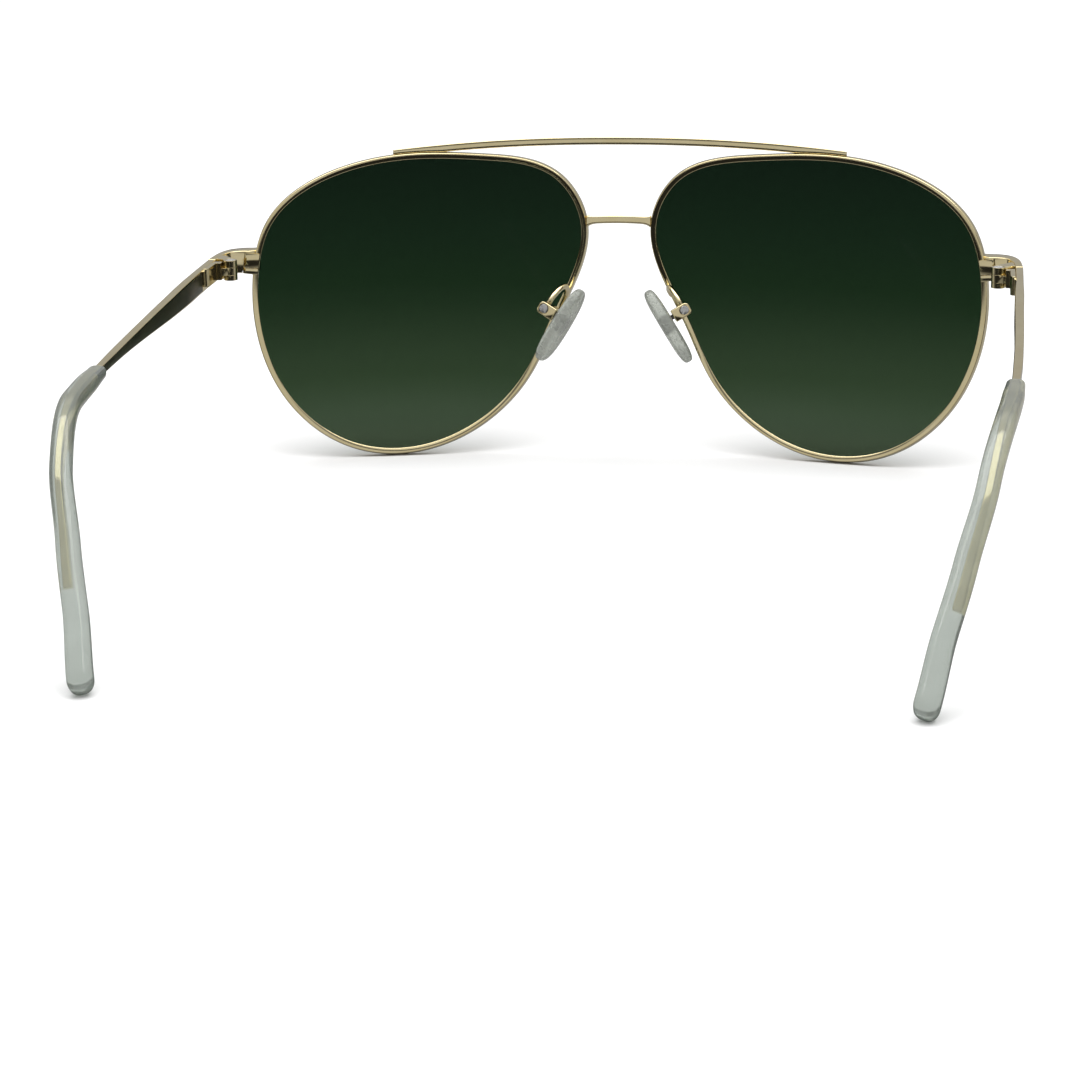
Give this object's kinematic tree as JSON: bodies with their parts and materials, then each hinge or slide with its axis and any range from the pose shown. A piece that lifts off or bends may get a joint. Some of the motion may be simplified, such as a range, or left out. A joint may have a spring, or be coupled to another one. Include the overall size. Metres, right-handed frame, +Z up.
{
  "type": "aviator sunglasses",
  "caption": "Metal aviator sunglasses with teardrop lenses, a brow bar and bridge, rocking nose pads and sprung temples that fold, standing open on rims and tips.",
  "frame": {"origin": "centre of the footprint, on the surface that the rims' lower edges and the temple tips stand on", "axes": "+X to the wearer's left, +Y from the lenses back toward the temple tips, +Z up"},
  "size_m": [0.1404, 0.1468, 0.0556],
  "materials": {
    "gold": "polished champagne gold plating",
    "screw_steel": "bright steel",
    "lens": "polished, dark green tint graded from dark at the top to lighter at the bottom",
    "silicone": "milky translucent",
    "tip": "clear, slightly green",
    "insert": "dark"
  },
  "bodies": {
    "front": {"bridge": "gold", "brow_bar": "gold", "end_piece_left": "gold", "end_piece_right": "gold", "front_hinge_left": "gold", "front_hinge_right": "gold", "hinge_screw_left": "screw_steel", "hinge_screw_right": "screw_steel", "lens_left": "lens", "lens_right": "lens", "pad_arm_left": "gold", "pad_arm_right": "gold", "pad_box_left": "gold", "pad_box_right": "gold", "pad_screw_left": "screw_steel", "pad_screw_right": "screw_steel", "rim_left": "gold", "rim_lock_lower_left": "gold", "rim_lock_lower_right": "gold", "rim_lock_screw_left": "screw_steel", "rim_lock_screw_right": "screw_steel", "rim_lock_upper_left": "gold", "rim_lock_upper_right": "gold", "rim_right": "gold"},
    "slider_body_left": {"hinge_slider_left": "gold", "hinge_spring_left": "screw_steel"},
    "temple_arm_left": {"temple_left": "gold", "temple_tip_left": "tip", "spring_box_left": "gold", "spring_stop_left": "screw_steel"},
    "pad_body_left": {"nose_pad_left": "silicone", "pad_insert_left": "insert"},
    "slider_body_right": {"hinge_slider_right": "gold", "hinge_spring_right": "screw_steel"},
    "temple_arm_right": {"temple_right": "gold", "temple_tip_right": "tip", "spring_box_right": "gold", "spring_stop_right": "screw_steel"},
    "pad_body_right": {"nose_pad_right": "silicone", "pad_insert_right": "insert"}
  },
  "joints": [
    {"name": "temple_fold_left", "type": "hinge", "parent": "front", "child": "slider_body_left", "pos_m": [0.06605, -0.05333, 0.03497], "axis": [0, 0, 1], "range_deg": [0, 87]},
    {"name": "temple_slide_left", "type": "slide", "parent": "slider_body_left", "child": "temple_arm_left", "axis": [0, 1, 0], "range_m": [0, 0.0008], "stiffness_N_per_m": 1500, "springref_m": -0.0005},
    {"name": "pad_rock_left", "type": "hinge", "parent": "front", "child": "pad_body_left", "pos_m": [0.0122, -0.06293, 0.02678], "axis": [0.1363, 0.9752, 0.1746], "range_deg": [-7, 7]},
    {"name": "temple_fold_right", "type": "hinge", "parent": "front", "child": "slider_body_right", "pos_m": [-0.06605, -0.05333, 0.03497], "axis": [0, 0, -1], "range_deg": [0, 79]},
    {"name": "temple_slide_right", "type": "slide", "parent": "slider_body_right", "child": "temple_arm_right", "axis": [0, 1, 0], "range_m": [0, 0.0008], "stiffness_N_per_m": 1500, "springref_m": -0.0005},
    {"name": "pad_rock_right", "type": "hinge", "parent": "front", "child": "pad_body_right", "pos_m": [-0.0122, -0.06293, 0.02678], "axis": [-0.1363, 0.9752, 0.1746], "range_deg": [-7, 7]}
  ]
}
